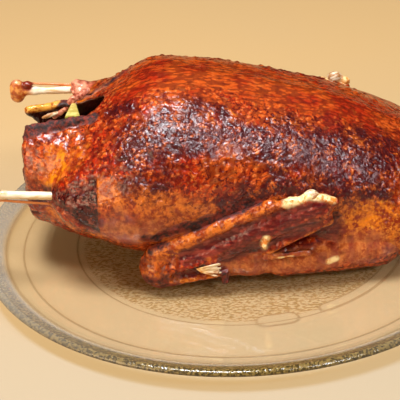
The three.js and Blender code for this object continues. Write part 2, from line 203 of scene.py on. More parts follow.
def smooth_step(low, high, value):
    share = np.clip((value - low) / (high - low), 0, 1)
    return share * share * (3 - 2 * share)


def join(a, b, blend):
    share = np.clip(0.5 + 0.5 * (b - a) / blend, 0, 1)
    return b + (a - b) * share - blend * share * (1 - share)


def cut(a, b, blend):
    return -join(-a, b, blend)


def between(a, b, share):
    return np.add(a, np.subtract(b, a) * share)


def ellipsoid(points, centre, half, turn=0, slope=0):
    x, y, z = (points - np.array(centre, float)).T
    t, s = math.radians(turn), math.radians(slope)
    forward = x * math.cos(t) + y * math.sin(t)
    side = y * math.cos(t) - x * math.sin(t)
    along = forward * math.cos(s) + z * math.sin(s)
    upward = z * math.cos(s) - forward * math.sin(s)
    local = np.stack([along, side, upward], 1)
    scaled = np.linalg.norm(local / half, axis=1)
    steep = np.linalg.norm(local / np.square(half), axis=1)
    return scaled * (scaled - 1) / np.maximum(steep, 1e-6)


def limb(points, start, end, start_radius, end_radius):
    start, end = np.array(start, float), np.array(end, float)
    axis = end - start
    share = np.clip((points - start) @ axis / max(axis @ axis, 1e-6), 0, 1)
    away = points - start - share[:, None] * axis
    return np.linalg.norm(away, axis=1) - (start_radius + (end_radius - start_radius) * share)


def web(points, corners, half):
    corners = np.array(corners, float)
    following = np.roll(corners, -1, axis=0)
    normal = np.cross(corners[1] - corners[0], corners[2] - corners[0])
    inside = np.ones(len(points), bool)
    for corner, after in zip(corners, following):
        inside &= (points - corner) @ np.cross(normal, after - corner) >= 0
    face = np.abs((points - corners[0]) @ normal) / np.linalg.norm(normal) - half
    edges = [limb(points, a, b, half, half) for a, b in zip(corners, following)]
    return np.where(inside, face, np.min(edges, axis=0))


def trunk(points):
    x, y, z = points.T
    sizes = TRUNK
    rear = smooth_step(sizes["vent"] - 5, sizes["full_from"], x)
    nose = np.clip((x - sizes["nose_start"]) / (sizes["nose"] - sizes["nose_start"]), 0, 0.9999)
    narrowing = (1 - nose ** 2.4) ** 0.45
    half = (sizes["vent_half"] + (sizes["half"] - sizes["vent_half"]) * rear) * narrowing
    fall = np.maximum((x - sizes["peak"]) / 110, 0) ** 1.4
    rise = (sizes["top"] - sizes["vent_top"]) * smooth_step(sizes["rise_start"], sizes["rise_end"], x)
    keel = sizes["keel"] * np.exp(-((y / 9) ** 2)) * smooth_step(sizes["peak"] - 20, 20, x)
    top = sizes["vent_top"] + rise - sizes["nose_drop"] * fall + keel
    tail_drop = sizes["tail_drop"] * smooth_step(*sizes["tail_span"], x)
    back_drop = sizes["back_drop"] * smooth_step(*sizes["back_span"], x)
    neck_lift = sizes["neck_lift"] * smooth_step(*sizes["neck_span"], x)
    low = sizes["vent_low"] - tail_drop - back_drop + neck_lift
    middle = sizes["middle"] + sizes["middle_rise"] * (1 - smooth_step(*sizes["middle_span"], x))
    tall = np.maximum(np.where(z > middle, top - middle, middle - low) * narrowing, 1)
    across = np.abs((y - sizes["aside"] - sizes["lean"] * rear) / half) ** sizes["square"]
    upright = np.abs((z - middle) / tall) ** sizes["square"]
    size = (across + upright) ** (1 / sizes["square"])
    skin = np.maximum((size - 1) * np.minimum(half, tall), x - sizes["nose"])
    return cut(skin, x - sizes["vent"], BLEND["vent"])


def leg(points, sizes):
    thigh = ellipsoid(points, sizes["thigh"], THIGH_HALF, sizes["turn"], THIGH_SLOPE)
    shin = limb(points, sizes["knee"], sizes["shin"], sizes["knee_radius"], sizes["shin_radius"])
    tip = limb(points, sizes["shin"], sizes["tip"], sizes["shin_radius"] - 2, TIP_RADIUS)
    return join(join(thigh, shin, BLEND["thigh"]), tip, BLEND["tip"])


def on_wing(sizes, place_on):
    share, out, up = place_on
    return between(sizes["elbow"], sizes["wrist"], share) + (0, sizes["out"] * out, up)


def wing_limb(points, sizes, start, end, radius, taper=1.0):
    return limb(points, on_wing(sizes, start), on_wing(sizes, end), radius, radius * taper)


def wing(points, sizes):
    elbow, wrist = sizes["elbow"], sizes["wrist"]
    forearm = limb(points, elbow, wrist, *FOREARM)
    flesh = web(points, [elbow, sizes["crook"], between(elbow, wrist, WEB_REACH)], WEB_HALF)
    lower = limb(points, elbow, sizes["low"], *LOWER_ARM)
    upper = limb(points, sizes["low"], sizes["shoulder"], *UPPER_ARM)
    shape = join(forearm, flesh, BLEND["flesh"])
    shape = join(shape, join(lower, upper, BLEND["arm"]), BLEND["flesh"])
    under = [
        between(sizes["low"], sizes["shoulder"], share) + (0, sizes["out"] * out, up)
        for share, out, up, radius in UNDER_ARM
    ]
    hanging = limb(points, *under, UNDER_ARM[0][3], UNDER_ARM[1][3])
    shape = join(shape, hanging, BLEND["flesh"])
    for strip in (*SKIN_STRIPS, *KNOB_SKIN):
        shape = join(shape, wing_limb(points, sizes, *strip, STRIP_TAPER), BLEND["strip"])
    flap = web(points, [on_wing(sizes, corner) for corner in FLAP], FLAP_HALF)
    shape = join(shape, flap, BLEND["strip"])
    for ridge in (FAT_BIT, DRIP, *EDGES):
        shape = join(shape, wing_limb(points, sizes, *ridge), BLEND["ridge"])
    return cut(shape, wing_limb(points, sizes, *GROOVE), BLEND["groove"])


def body(points):
    legs = np.minimum(leg(points, NEAR_LEG), leg(points, FAR_LEG))
    shape = join(trunk(points), legs, BLEND["leg"])
    fold = limb(points, NECK_FOLD["from"], NECK_FOLD["to"], NECK_FOLD["radius"], NECK_FOLD["radius"])
    shape = join(shape, fold, BLEND["fold"])
    for sizes in (NEAR_WING, FAR_WING):
        root = between(sizes["low"], sizes["shoulder"], SHOULDER_START)
        shoulder = limb(points, root, sizes["shoulder"], SHOULDER_ROOT, UPPER_ARM[1])
        shape = join(shape, shoulder, BLEND["shoulder"])
    return shape


def hollow(points):
    """The opening, and the tail end that is cut back on the far side below its lip."""
    opening = ellipsoid(points, CAVITY["centre"], CAVITY["half"], 0, CAVITY["slope"])
    return join(opening, ellipsoid(points, SCOOP["centre"], SCOOP["half"]), BLEND["scoop"])


def body_shape(points):
    shape = cut(body(points), hollow(points), BLEND["cavity"])
    for start, end, radius in RIMS:
        shape = join(shape, limb(points, start, end, radius, radius), BLEND["rim"])
    return cut(shape, points[:, 2] - DUCK_FLOOR, BLEND["floor"])


def wing_shape(points, sizes):
    """A wing, down to a little below the skin that it lies against."""
    shape = cut(wing(points, sizes), body(points) + WING_DEPTH, BLEND["wing_root"])
    return cut(shape, points[:, 2] - DUCK_FLOOR - WING_LIFT, BLEND["wing_floor"])


# Meshes from distances

def grid_points(low, cell, counts):
    axes = [low[i] + cell * np.arange(counts[i]) for i in range(3)]
    return np.stack(np.meshgrid(*axes, indexing="ij"), -1).reshape(-1, 3)


def sample(distance, low, high, cell):
    """The distance at each point of a fine grid, worked out only where the surface is near."""
    low, high = np.array(low, float), np.array(high, float)
    wide = cell * COARSE_STEPS
    blocks = np.ceil((high - low) / wide).astype(int)
    centres = grid_points(low + wide / 2 - cell / 2, wide, blocks)
    rough = distance(centres)
    fine = np.repeat(rough, COARSE_STEPS ** 3)
    near = np.flatnonzero(np.abs(rough) < wide * 1.4)
    inner = grid_points(np.zeros(3), cell, [COARSE_STEPS] * 3)
    corners = centres[near] - wide / 2 + cell / 2
    exact = distance((corners[:, None] + inner[None]).reshape(-1, 3))
    fine = fine.reshape(len(rough), -1)
    fine[near] = exact.reshape(len(near), -1)
    shape = (*blocks, COARSE_STEPS, COARSE_STEPS, COARSE_STEPS)
    ordered = fine.reshape(shape).transpose(0, 3, 1, 4, 2, 5)
    return ordered.reshape(blocks * COARSE_STEPS)


def surface_nets(values, low, cell):
    """Points and four-sided faces, facing out, of the surface where the values change sign."""
    inside = values < 0
    counts = np.array(values.shape)
    filled = sum(
        inside[i:counts[0] - 1 + i, j:counts[1] - 1 + j, k:counts[2] - 1 + k].astype(np.int8)
        for i in (0, 1) for j in (0, 1) for k in (0, 1)
    )
    crossed = (filled > 0) & (filled < 8)
    cells = np.argwhere(crossed)
    index = np.full(crossed.shape, -1)
    index[crossed] = np.arange(len(cells))
    total, number = np.zeros((len(cells), 3)), np.zeros(len(cells))
    faces = []
    for axis in range(3):
        others = [i for i in range(3) if i != axis]
        for a in (0, 1):
            for b in (0, 1):
                start = cells.copy()
                start[:, others] += (a, b)
                end = start.copy()
                end[:, axis] += 1
                first, last = values[tuple(start.T)], values[tuple(end.T)]
                hit = (first < 0) != (last < 0)
                place = start[hit].astype(float)
                place[:, axis] += first[hit] / (first[hit] - last[hit])
                total[hit] += place
                number[hit] += 1
        before = np.take(inside, range(counts[axis] - 1), axis)
        after = np.take(inside, range(1, counts[axis]), axis)
        edges = np.argwhere(before != after)
        ring = []
        for a, b in ((1, 1), (0, 1), (0, 0), (1, 0)):
            cell_at = edges.copy()
            cell_at[:, others] -= (a, b)
            ring.append(index[tuple(cell_at.T)])
        ring = np.stack(ring, 1)
        forward = inside[tuple(edges.T)] != (axis == 1)
        ring[~forward] = ring[~forward][:, ::-1]
        faces.append(ring)
    points = total / number[:, None] * cell + np.array(low, float)
    return points, np.concatenate(faces)


def outward(distance, points, reach=0.8):
    """The direction straight out of the surface at each point."""
    steps = [distance(points + reach * axis) - distance(points - reach * axis) for axis in np.eye(3)]
    slope = np.stack(steps, 1)
    return slope / np.maximum(np.linalg.norm(slope, axis=1), 1e-9)[:, None]


def noise_at(points, wavelength, seed, octaves=2):
    """Smooth noise from about -1 to 1."""
    shift = Vector(SEED_SHIFT) * seed
    return np.array([noise.fractal(Vector(p) + shift, 0.8, 2.0, octaves) for p in points / wavelength])


def streak(points, start, end, radius):
    """1 on a line and less away from it, down to 0 one radius off."""
    return 1 - np.maximum(limb(points, start, end, 0, 0), 0) / radius


def tone(points, streaks, ragged, wavelength, seed):
    """How much of a tone the skin has, from 0 to 1, with ragged edges."""
    value = np.max([strength * streak(points, a, b, r) for a, b, r, strength in streaks], axis=0)
    near = value > -0.6
    value[near] += ragged * noise_at(points[near], wavelength, seed, 3)
    return smooth_step(0.0, 0.55, value)


def placed(name, data):
    """A new object in the scene."""
    made = bpy.data.objects.new(name, data)
    bpy.context.scene.collection.objects.link(made)
    return made


def make_mesh(name, points, faces, smooth=True):
    mesh = bpy.data.meshes.new(name)
    mesh.from_pydata((np.asarray(points) * MM).tolist(), [], [tuple(map(int, face)) for face in faces])
    mesh.polygons.foreach_set("use_smooth", [smooth] * len(mesh.polygons))
    mesh.update()
    return placed(name, mesh)


def add_values(piece, name, values):
    layer = piece.data.attributes.new(name, "FLOAT", "POINT")
    layer.data.foreach_set("value", np.asarray(values, float))


# How high or deep each kind of relief is, in millimetres
RELIEF = {
    "lumps": 0.7, "wrinkles": 0.22, "mahogany_wrinkles": 0.3, "crown_wrinkles": -0.12, "pimples": 0.5,
    "rear_folds": 0.9, "crags": 1.5, "patch": -1.3, "patch_wrinkles": 0.7, "torn": 1.8, "crumbs": 2.2,
    "body_inset": -0.5, "wing_skin": 0.8, "fibres": 0.45, "cords": 0.9, "bare": -0.5, "pale": 0.9,
    "wing_inset": -0.4,
}

# Where each tone lies on the body: from, to, radius, strength
BODY_TONES = {
    "mahogany": (
        ((-58, -50, 96), (-20, -46, 102), 24, 1.0), ((-14, -44, 100), (30, -44, 92), 20, 0.7),
        ((34, -48, 88), (84, -40, 76), 26, 1.0), ((58, -56, 66), (78, -52, 60), 15, 1.0),
        ((-66, -60, 76), (-46, -62, 68), 11, 0.9), ((6, -60, 60), (44, -56, 70), 13, 1.0),
        ((-8, -60, 60), (4, -60, 68), 10, 0.9), ((-20, -62, 62), (-34, -62, 60), 5, 0.6),
        ((-72, -22, 104), (-60, -26, 106), 9, 0.8), ((78, -56, 43), (92, -52, 44), 5.5, 0.9),
        ((66, -59, 40), (70, -58, 36), 4, 0.7), ((-50, 50, 96), (40, 50, 88), 24, 0.7),
    ),
    "gold": (
        ((-112, -36, 46), (-84, -54, 34), 15, 0.7), ((72, -58, 46), (104, -50, 34), 20, 0.9),
        ((66, -58, 26), (110, -44, 24), 16, 0.9), ((-92, 12, 97), (-88, 14, 99), 4, 1.0),
        ((60, 62, 50), (110, 50, 40), 26, 0.9),
    ),
    "tan": (
        ((-72, -62, 46), (-40, -64, 40), 14, 0.9), ((-122, -26, 70), (-118, -30, 84), 10, 0.35),
        ((-66, -62, 60), (-56, -62, 54), 8, 0.6), ((52, -56, 30), (74, -58, 28), 13, 0.8),
        ((-70, 62, 52), (-30, 66, 44), 18, 0.9),
    ),
    "drip": (
        ((-107, -34, 60), (-105, -32, 82), 10, 1.1), ((-98, -34, 64), (-92, -32, 84), 11, 0.6),
        ((-110, 30, 60), (-96, 34, 84), 18, 0.8),
    ),
    "torn": (
        ((-98, 54, 86), (-84, 49, 84), 9, 1.1), ((-90, 21, 97), (-74, 21, 101), 4.5, 1.1),
    ),
    "orange": (
        ((-40, -62, 56), (-20, -62, 58), 9, 0.7), ((-76, -58, 68), (-30, -63, 56), 17, 0.7),
        ((20, -58, 56), (60, -58, 50), 9, 0.6),
    ),
    "meat": (
        ((-92, 13, 92), (-86, 11, 96), 4, 1.0), ((-124, -29, 52), (-113, -33, 55), 5, 1.0),
        ((22, -52, 28), (52, -54, 40), 12, 1.0),
    ),
    "char": (
        ((-124, -16, 92), (-109, -15, 95.5), 6.5, 1.3),
        ((-109, -15, 95.5), (-84, -16, 98.5), 6, 1.2), ((-106, 15, 94), (-100, 15, 95), 4, 1.1),
        # The streak from (-55, -62, 41) to (10, -59, 60) follows the crevice over the near wing: char and
        # painted shade in that crevice.
        ((-88, 24, 99), (-66, 26, 110), 7, 0.7), ((-55, -62, 41), (10, -59, 60), 5.5, 1.0),
        # The streak from (18, -50, 30) to (50, -54, 47), behind the notch under the near wing, is painted
        # shade in that notch, not char.
        ((18, -50, 30), (50, -54, 47), 9, 1.3), ((-127, -20, 50), (-127, -26, 84), 3.4, 0.8),
        ((-124, -22, 41), (-121, -24, 41), 3, 1.0), ((71, -58, 22), (71, -58, 22), 2, 1.2),
    ),
    "pale": (
        ((-61, -62, 33), (-61, -60, 35), 1.6, 1.0),
    ),
    "crown": (
        ((-50, 4, 118), (80, 2, 98), 34, 1.0),
    ),
    "diagonal": (
        ((-6, -58, 80), (24, -50, 92), 24, 1.2),
    ),
    "upright": (
        ((44, -54, 74), (74, -40, 86), 24, 1.2),
    ),
}
WING_TONES = {
    "gold": (
        ((0.04, 12, 11), (0.33, 11, 1), 4, 1.1), ((0.1, 10, -8), (0.36, 10, -14.5), 3, 0.7),
        (*EDGES[0][:2], 2.6, 1.3), (*EDGES[1][:2], 3.2, 1.3),
        ((-0.06, 11, 4), (0.02, 12, -2), 6, 0.6),
    ),
    "orange": (
        ((-0.04, 10, 15), (0.3, 9, 15), 8, 1.2), ((0.3, 9, 15), (0.72, 6, 15), 6, 1.1),
        ((-0.12, 8, 6), (0.0, 10, 8), 9, 0.35), ((0.62, 7, -14), (0.72, 6, -18), 5, 0.9),
        ((0.1, 9, -9), (0.36, 9, -16), 4, 0.8),
    ),
    "tan": (
        ((0.44, 6, -18), (1.2, 2, -38), 13, 1.0), ((1.2, 2, -38), (1.6, -6, -46), 13, 0.8),
        ((0.38, 8, -9), (0.56, 8, -10), 3.5, 0.8),
    ),
    "meat": (
        ((0.18, 10, 5), (0.5, 8, 5), 7, 1.3), ((0.5, 8, 5), (0.98, 4, 3), 8, 1.3),
        ((0.42, 8, -5), (0.95, 5, -5), 7, 1.2), ((0.12, 9, -4), (0.3, 9, -8), 4, 1.0),
        ((0.4, 8, -14), (0.42, 8, -22), 4, 1.2),
    ),
    "char": (
        # Along the wing's upper edge, where it meets the body, and in the groove, the char darkens a
        # crevice: char and painted shade there.
        ((-0.06, 6, 22), (0.62, 2, 20), 4.2, 1.3), (GROOVE[0], GROOVE[1], 3.4, 1.3),
        ((-0.1, 9, -10), (0.1, 8, -13), 8, 1.3), ((-0.08, 8, 20), (0.04, 7, 21), 6, 0.8),
        ((-0.14, 8, -2), (0.02, 11, -2), 11, 0.5), ((0.86, 3, 2), (0.98, 3, 4), 5, 0.7),
        # The spots from share 0.8 on, low down (the last on this line and the first on the next), are
        # painted shade in the notch under the wing, not char.
        ((0.46, 8, -7), (0.6, 7, -9), 1.6, 0.9), ((0.8, 3, -17), (1.04, 2, -12), 4.4, 1.2),
        ((0.88, 2, -19), (1.02, 1, -19), 5, 0.7), ((0.4, 8, -16), (0.39, 8, -22), 3, 0.9),
    ),
    "pale": (
        ((0.668, 10, -3.2), (0.655, 10, -7.8), 3.6, 1.4), ((1.06, 1, -39), (1.1, 1, -39), 3, 1.3),
        ((0.8, 4, 12), (0.94, 3, 11), 4.2, 1.2), ((0.94, 3, 10.5), (1.07, 2, 3), 4.0, 1.2),
        ((0.74, 7, -20), (0.82, 6, -22.5), 1.4, 0.8),
    ),
}
FIRST_TONE_SEED = 20
TONE_NAMES = ("mahogany", "gold", "tan", "meat", "char", "pale", "crown", "diagonal", "upright",
              "orange", "drip", "torn")
# How ragged a tone's edge is, and the wavelength of that
EDGE_NOISE = {"mahogany": (0.45, 12), "gold": (0.4, 10), "tan": (0.3, 10), "meat": (0.2, 9),
              "char": (0.35, 6), "pale": (0.1, 3), "torn": (0.2, 5)}
PLAIN_EDGE = (0.3, 9)


def drumstick_patch(points, ragged):
    """The dark, shrivelled skin of the near drumstick, which stops at a straight edge."""
    x, y, z = points.T
    edge = PATCH["edge"] + 0.4 * ragged
    share = np.clip((x - PATCH["tail"]) / PATCH["length"], 0, 1)
    below = PATCH["top"] + PATCH["top_rise"] * share + ragged - z
    above = z - (PATCH["low"] - PATCH["low_fall"] * share ** 1.8 + ragged)
    value = np.minimum(np.minimum(edge - x, below / 2), above / 2)
    near_side = smooth_step(-26, -34, y) * smooth_step(PATCH["tail"] - 6, PATCH["tail"], x)
    return smooth_step(-0.6, 0.8, value) * near_side


def stretched(points, direction, factor):
    """The points squeezed along a direction, so that noise on them runs that way."""
    direction = np.array(direction, float) / np.linalg.norm(direction)
    along = points @ direction
    return points - (1 - 1 / factor) * along[:, None] * direction


def skin_relief(points, tones):
    """The skin's lumps, wrinkles and pimples in millimetres, and how deep in a wrinkle each point is, which
    the colour darkens as painted shade.
    """
    warp = 1.6 * np.stack([noise_at(points, 14, seed, 1) for seed in (5, 6, 7)], 1)
    bent = points + warp
    even = noise_at(bent, 5.0, 8, 2)
    slanted = noise_at(stretched(bent, (0.75, 0, 0.65), 2.6), 3.6, 9, 2)
    upright = noise_at(stretched(bent, (0.1, 0, 1), 2.6), 3.6, 10, 2)
    lines = even + (slanted - even) * tones["diagonal"] + (upright - even) * tones["upright"]
    wrinkle = 1 - 2.2 * np.abs(lines)
    pimples = np.maximum(noise_at(points, 5.5, 31, 1) - 0.4, 0) * 2.5
    strength = RELIEF["wrinkles"] + RELIEF["mahogany_wrinkles"] * tones["mahogany"]
    strength = strength + RELIEF["crown_wrinkles"] * tones["crown"]
    relief = RELIEF["lumps"] * noise_at(points, 26, 1) + strength * wrinkle + RELIEF["pimples"] * pimples
    return relief, smooth_step(0.25, -0.8, wrinkle)


def make_flesh(distance, low, high, cell, tone_streaks):
    """The mesh of a fleshy part before its relief, with its outward directions and its tones."""
    points, faces = surface_nets(sample(distance, low, high, cell), low, cell)
    tones = {}
    for seed, tone_name in enumerate(TONE_NAMES):
        if tone_name in tone_streaks:
            ragged, wavelength = EDGE_NOISE.get(tone_name, PLAIN_EDGE)
            spots = tone_streaks[tone_name]
            tones[tone_name] = tone(points, spots, ragged, wavelength, FIRST_TONE_SEED + seed)
        else:
            tones[tone_name] = np.zeros(len(points))
    return points, faces, outward(distance, points), tones


def finish_flesh(name, points, faces, values):
    piece = make_mesh(name, points, faces)
    for value_name, value in values.items():
        add_values(piece, value_name, value)
    return piece


def make_body():
    points, faces, normals, tones = make_flesh(body_shape, BODY_LOW, BODY_HIGH, BODY_CELL, BODY_TONES)
    x, y, z = points.T
    patch = drumstick_patch(points, 2.2 * noise_at(points, 9, 3))
    relief, crease_shade_and_crumbs = skin_relief(points, tones)
    rear = smooth_step(-82, -92, x) * smooth_step(-4, -12, y)
    folds = noise_at(stretched(points, (0.05, 0, 1), 4), 7, 12, 2)
    crags = np.maximum(noise_at(points, 5, 13, 3), -0.3)
    shrivelled = noise_at(stretched(points, (1, 0, -0.4), 2.5), 3.2, 14, 2)
    relief += RELIEF["rear_folds"] * rear * folds + RELIEF["crags"] * tones["char"] * crags
    relief += patch * (RELIEF["patch"] + RELIEF["patch_wrinkles"] * shrivelled)
    relief += RELIEF["torn"] * tones["torn"] * noise_at(points, 6, 19, 2)
    edge = smooth_step(-20, 30, y) * smooth_step(70, 90, z)
    crumbs = edge * np.maximum(noise_at(points, 3.6, 32, 1) - 0.3, 0)
    relief += RELIEF["crumbs"] * crumbs
    # The crumbs join the painted crease shade; being char, they are also dark of themselves.
    crease_shade_and_crumbs = np.maximum(crease_shade_and_crumbs, smooth_step(0.05, 0.25, crumbs))
    flat = smooth_step(DUCK_FLOOR + 0.5, DUCK_FLOOR + 5, z)
    points = points + normals * (relief * flat + RELIEF["body_inset"])[:, None]
    points[:, 2] = np.clip(points[:, 2], DUCK_FLOOR, cad_box[1][2] / MM)
    lip = smooth_step(0.0, 0.3, streak(points, *FAR_LIP, FAR_LIP_RADIUS))
    # Inside the opening, away from the far lip, the skin is painted near-black: painted shade in the
    # hollow.
    inside = smooth_step(2.5, 0.5, hollow(points)) * (1 - lip)
    values = {**tones, "patch": patch, "crease_shade_and_crumbs": crease_shade_and_crumbs, "inside": inside, "lip": lip}
    return finish_flesh("duck_body", points, faces, values)


def along_forearm(points, sizes):
    return stretched(points, np.subtract(sizes["wrist"], sizes["elbow"]), 7)


def make_wing(name, sizes, cell):
    streaks = {
        tone_name: [(on_wing(sizes, a), on_wing(sizes, b), r, strength) for a, b, r, strength in spots]
        for tone_name, spots in WING_TONES.items()
    }
    ends = np.array([sizes["elbow"], sizes["wrist"], sizes["shoulder"]], float)
    low, high = ends.min(0) - WING_MARGIN, ends.max(0) + WING_MARGIN
    low[2] = BODY_LOW[2]
    points, faces, normals, tones = make_flesh(lambda at: wing_shape(at, sizes), low, high, cell, streaks)
    fibres = noise_at(along_forearm(points, sizes), 2.4, 15, 2)
    cords = noise_at(along_forearm(points, sizes), 6, 16, 1)
    relief, crease_shade_and_crumbs = skin_relief(points, tones)
    bare = tones["meat"]
    meat = RELIEF["fibres"] * fibres + RELIEF["cords"] * cords + RELIEF["bare"]
    relief = RELIEF["wing_skin"] * relief * (1 - bare) + bare * meat
    relief += RELIEF["pale"] * tones["pale"] * noise_at(points, 4.5, 18, 2)
    # Between the meat's fibres the crease value adds painted shade.
    crease_shade_and_crumbs = np.maximum(crease_shade_and_crumbs * (1 - bare), bare * smooth_step(0.1, -0.5, fibres))
    points = points + normals * (relief + RELIEF["wing_inset"])[:, None]
    points[:, 2] = np.maximum(points[:, 2], DUCK_FLOOR)
    return finish_flesh(name, points, faces, {**tones, "crease_shade_and_crumbs": crease_shade_and_crumbs})


def make_small(name, distance, around, margin, lumps=0.0, cell=SMALL_CELL):
    """A small piece from its distance function, a little uneven, within a margin round some points."""
    low, high = np.min(around, axis=0) - margin, np.max(around, axis=0) + margin
    points, faces = surface_nets(sample(distance, low, high, cell), low, cell)
    relief = lumps * noise_at(points, 3.5, 17, 2) - lumps
    return make_mesh(name, points + outward(distance, points, cell) * relief[:, None], faces)


def bone_shape(points, sizes):
    root, end = np.array(sizes["bone_root"], float), np.array(sizes["bone_end"], float)
    length = np.linalg.norm(end - root)
    waist = between(root, end, 1 - KNUCKLE["flare"] / length)
    shaft = limb(points, root, waist, SHAFT_RADIUS, SHAFT_RADIUS)
    flared = limb(points, waist, end, SHAFT_RADIUS, SHAFT_RADIUS * KNUCKLE["widening"])
    shape = join(shaft, flared, BLEND["bone"])
    for side in (-1, 1):
        lobe = ellipsoid(points, end + (0, 0, side * KNUCKLE["spread"]), KNUCKLE["half"])
        shape = join(shape, lobe, BLEND["bone"])
    lump = ellipsoid(points, end + KNUCKLE["lump"], KNUCKLE["lump_half"])
    shape = join(shape, lump, BLEND["lump"])
    strand = limb(points, sizes["strand_root"], sizes["strand_end"], STRAND_RADIUS, STRAND_RADIUS)
    return join(shape, strand, BLEND["strand"])


def points_of(piece):
    return np.array([vertex.co for vertex in piece.data.vertices]) / MM


def make_bone(name, sizes):
    ends = [sizes[key] for key in ("bone_root", "bone_end", "strand_root", "strand_end")]
    piece = make_small(name, lambda at: bone_shape(at, sizes), ends, 9, 0.12)
    points = points_of(piece)
    end = np.array(sizes["bone_end"], float)
    add_values(piece, "knuckle", smooth_step(0, 0.5, streak(points, end, end, 12)))
    strand = limb(points, sizes["strand_root"], sizes["strand_end"], 0, 0)
    add_values(piece, "strand", smooth_step(2.0, 1.2, strand))
    lump = end + KNUCKLE["lump"]
    add_values(piece, "lump", smooth_step(0, 0.4, streak(points, lump, lump, 5)))
    return piece


def make_knob(name, sizes):
    knob = np.array(sizes["knob"], float)

    def shape(points):
        second = ellipsoid(points, knob + SECOND_KNOB, np.multiply(KNOB_HALF, SECOND_SHARE))
        return join(ellipsoid(points, knob, KNOB_HALF), second, BLEND["knob"])

    piece = make_small(name, shape, [knob], 12, 0.25)
    points = points_of(piece)
    brown = smooth_step(0.5, -2.5, points[:, 2] - knob[2]) + smooth_step(3, 7, points[:, 0] - knob[0])
    add_values(piece, "knuckle", np.clip(brown, 0, 1))
    return piece


def apple_shape(points):
    foot = APPLE["foot"]
    x, y, z = (points - foot).T
    share = (y - APPLE["peel_y"]) / (APPLE["edge_y"] - APPLE["peel_y"])
    half = APPLE["peel_width"] / 2 + (APPLE["edge_width"] - APPLE["peel_width"]) / 2 * share
    sides = np.abs(x) - half
    back = y - APPLE["edge_y"]
    middle = 1 - (x / APPLE["peel_width"] * 2) ** 2
    bulge = APPLE["peel_y"] + (APPLE["bulge_y"] - APPLE["peel_y"]) / 2 * middle
    ends = np.maximum(z - APPLE["height"], -z)
    return -join(-cut(sides, -back, BLEND["edge"]), -np.maximum(bulge - y, ends), BLEND["peel"])


def make_apple():
    corners = [np.add(APPLE["foot"], (-9, -17, -3)), np.add(APPLE["foot"], (9, 17, 26))]
    piece = make_small("apple_flesh", apple_shape, corners, 0, 0.15, 0.5)
    inward = points_of(piece)[:, 1] - APPLE["foot"][1]
    add_values(piece, "peel", smooth_step(APPLE["peel_y"] + 1.0, APPLE["peel_y"] - 0.6, inward))
    return piece


def make_tendons(name, sizes):
    """The fan of tendons at the elbow: cords side by side that spread from a narrow root."""
    cords = []
    for number in range(FAN["count"]):
        share = number / (FAN["count"] - 1)
        root = between(*FAN["root"], share)
        uneven = (0.012 * math.sin(2.4 * number), 0.5 * math.cos(3.7 * number), 0)
        end = between(*FAN["end"], share) + uneven
        cords.append((on_wing(sizes, root), on_wing(sizes, end)))

    def shape(points):
        limbs = [limb(points, a, b, FAN["root_radius"], FAN["end_radius"]) for a, b in cords]
        whole = limbs[0]
        for following in limbs[1:]:
            whole = join(whole, following, BLEND["cord"])
        return whole

    ends = np.array(cords).reshape(-1, 3)
    piece = make_small(name, shape, ends, 3, 0.15, 0.35)
    along = points_of(piece)[:, 0] - ends[0, 0]
    add_values(piece, "knuckle", smooth_step(0.7, 0.1, along / (ends[1, 0] - ends[0, 0])))
    return piece


def strand_shape(points):
    first, second, third = (limb(points, a, b, *STRAND_ENDS) for a, b in zip(STRAND, STRAND[1:]))
    return join(join(first, second, BLEND["torn_skin"]), third, BLEND["torn_skin"])


def make_strand():
    piece = make_small("skin_strand", strand_shape, STRAND, 5, 0.4, 0.5)
    add_values(piece, "torn", np.ones(len(piece.data.vertices)))
    return piece


def scrap_shape(points):
    return ellipsoid(points, SCRAP["centre"], SCRAP["half"], SCRAP["turn"], SCRAP["slope"])


# Shader building blocks

def new_material(name):
    material = bpy.data.materials.new(name)
    material.use_nodes = True
    tree = material.node_tree
    tree.nodes.clear()
    return material, tree


def node(tree, kind, inputs=None, **settings):
    """A shader node with its settings, and its inputs set to values or linked to outputs."""
    made = tree.nodes.new(kind)
    for name, value in settings.items():
        setattr(made, name, value)
    for socket, value in (inputs or {}).items():
        if isinstance(value, bpy.types.NodeSocket):
            tree.links.new(value, made.inputs[socket])
        else:
            made.inputs[socket].default_value = value
    return made


def place(tree):
    return node(tree, "ShaderNodeTexCoord").outputs["Object"]


def value_of(tree, name):
    return node(tree, "ShaderNodeAttribute", attribute_name=name).outputs["Fac"]


def grain(tree, where, wavelength, detail=3.0, rough=0.55, bend=0.0):
    inputs = {"Vector": where, "Scale": 1 / (wavelength * MM), "Detail": detail,
              "Roughness": rough, "Distortion": bend}
    return node(tree, "ShaderNodeTexNoise", inputs).outputs["Fac"]


def ramp(tree, value, low, high, to_low=0.0, to_high=1.0):
    """A value carried smoothly from one range to another."""
    inputs = {"Value": value, "From Min": low, "From Max": high, "To Min": to_low, "To Max": to_high}
    return node(tree, "ShaderNodeMapRange", inputs, interpolation_type="SMOOTHSTEP").outputs[0]


def maths(tree, operation, a, b=0.0):
    return node(tree, "ShaderNodeMath", {0: a, 1: b}, operation=operation).outputs[0]


def times(tree, a, b):
    return maths(tree, "MULTIPLY", a, b)


def mix(tree, share, a, b):
    return node(tree, "ShaderNodeMix", {0: share, 6: a, 7: b}, data_type="RGBA").outputs[2]


def two_tints(tree, pattern, low, high, first, second):
    """The first tint where a pattern is below a range, the second above it, and a mix within it."""
    return mix(tree, ramp(tree, pattern, low, high), paint(*first), paint(*second))


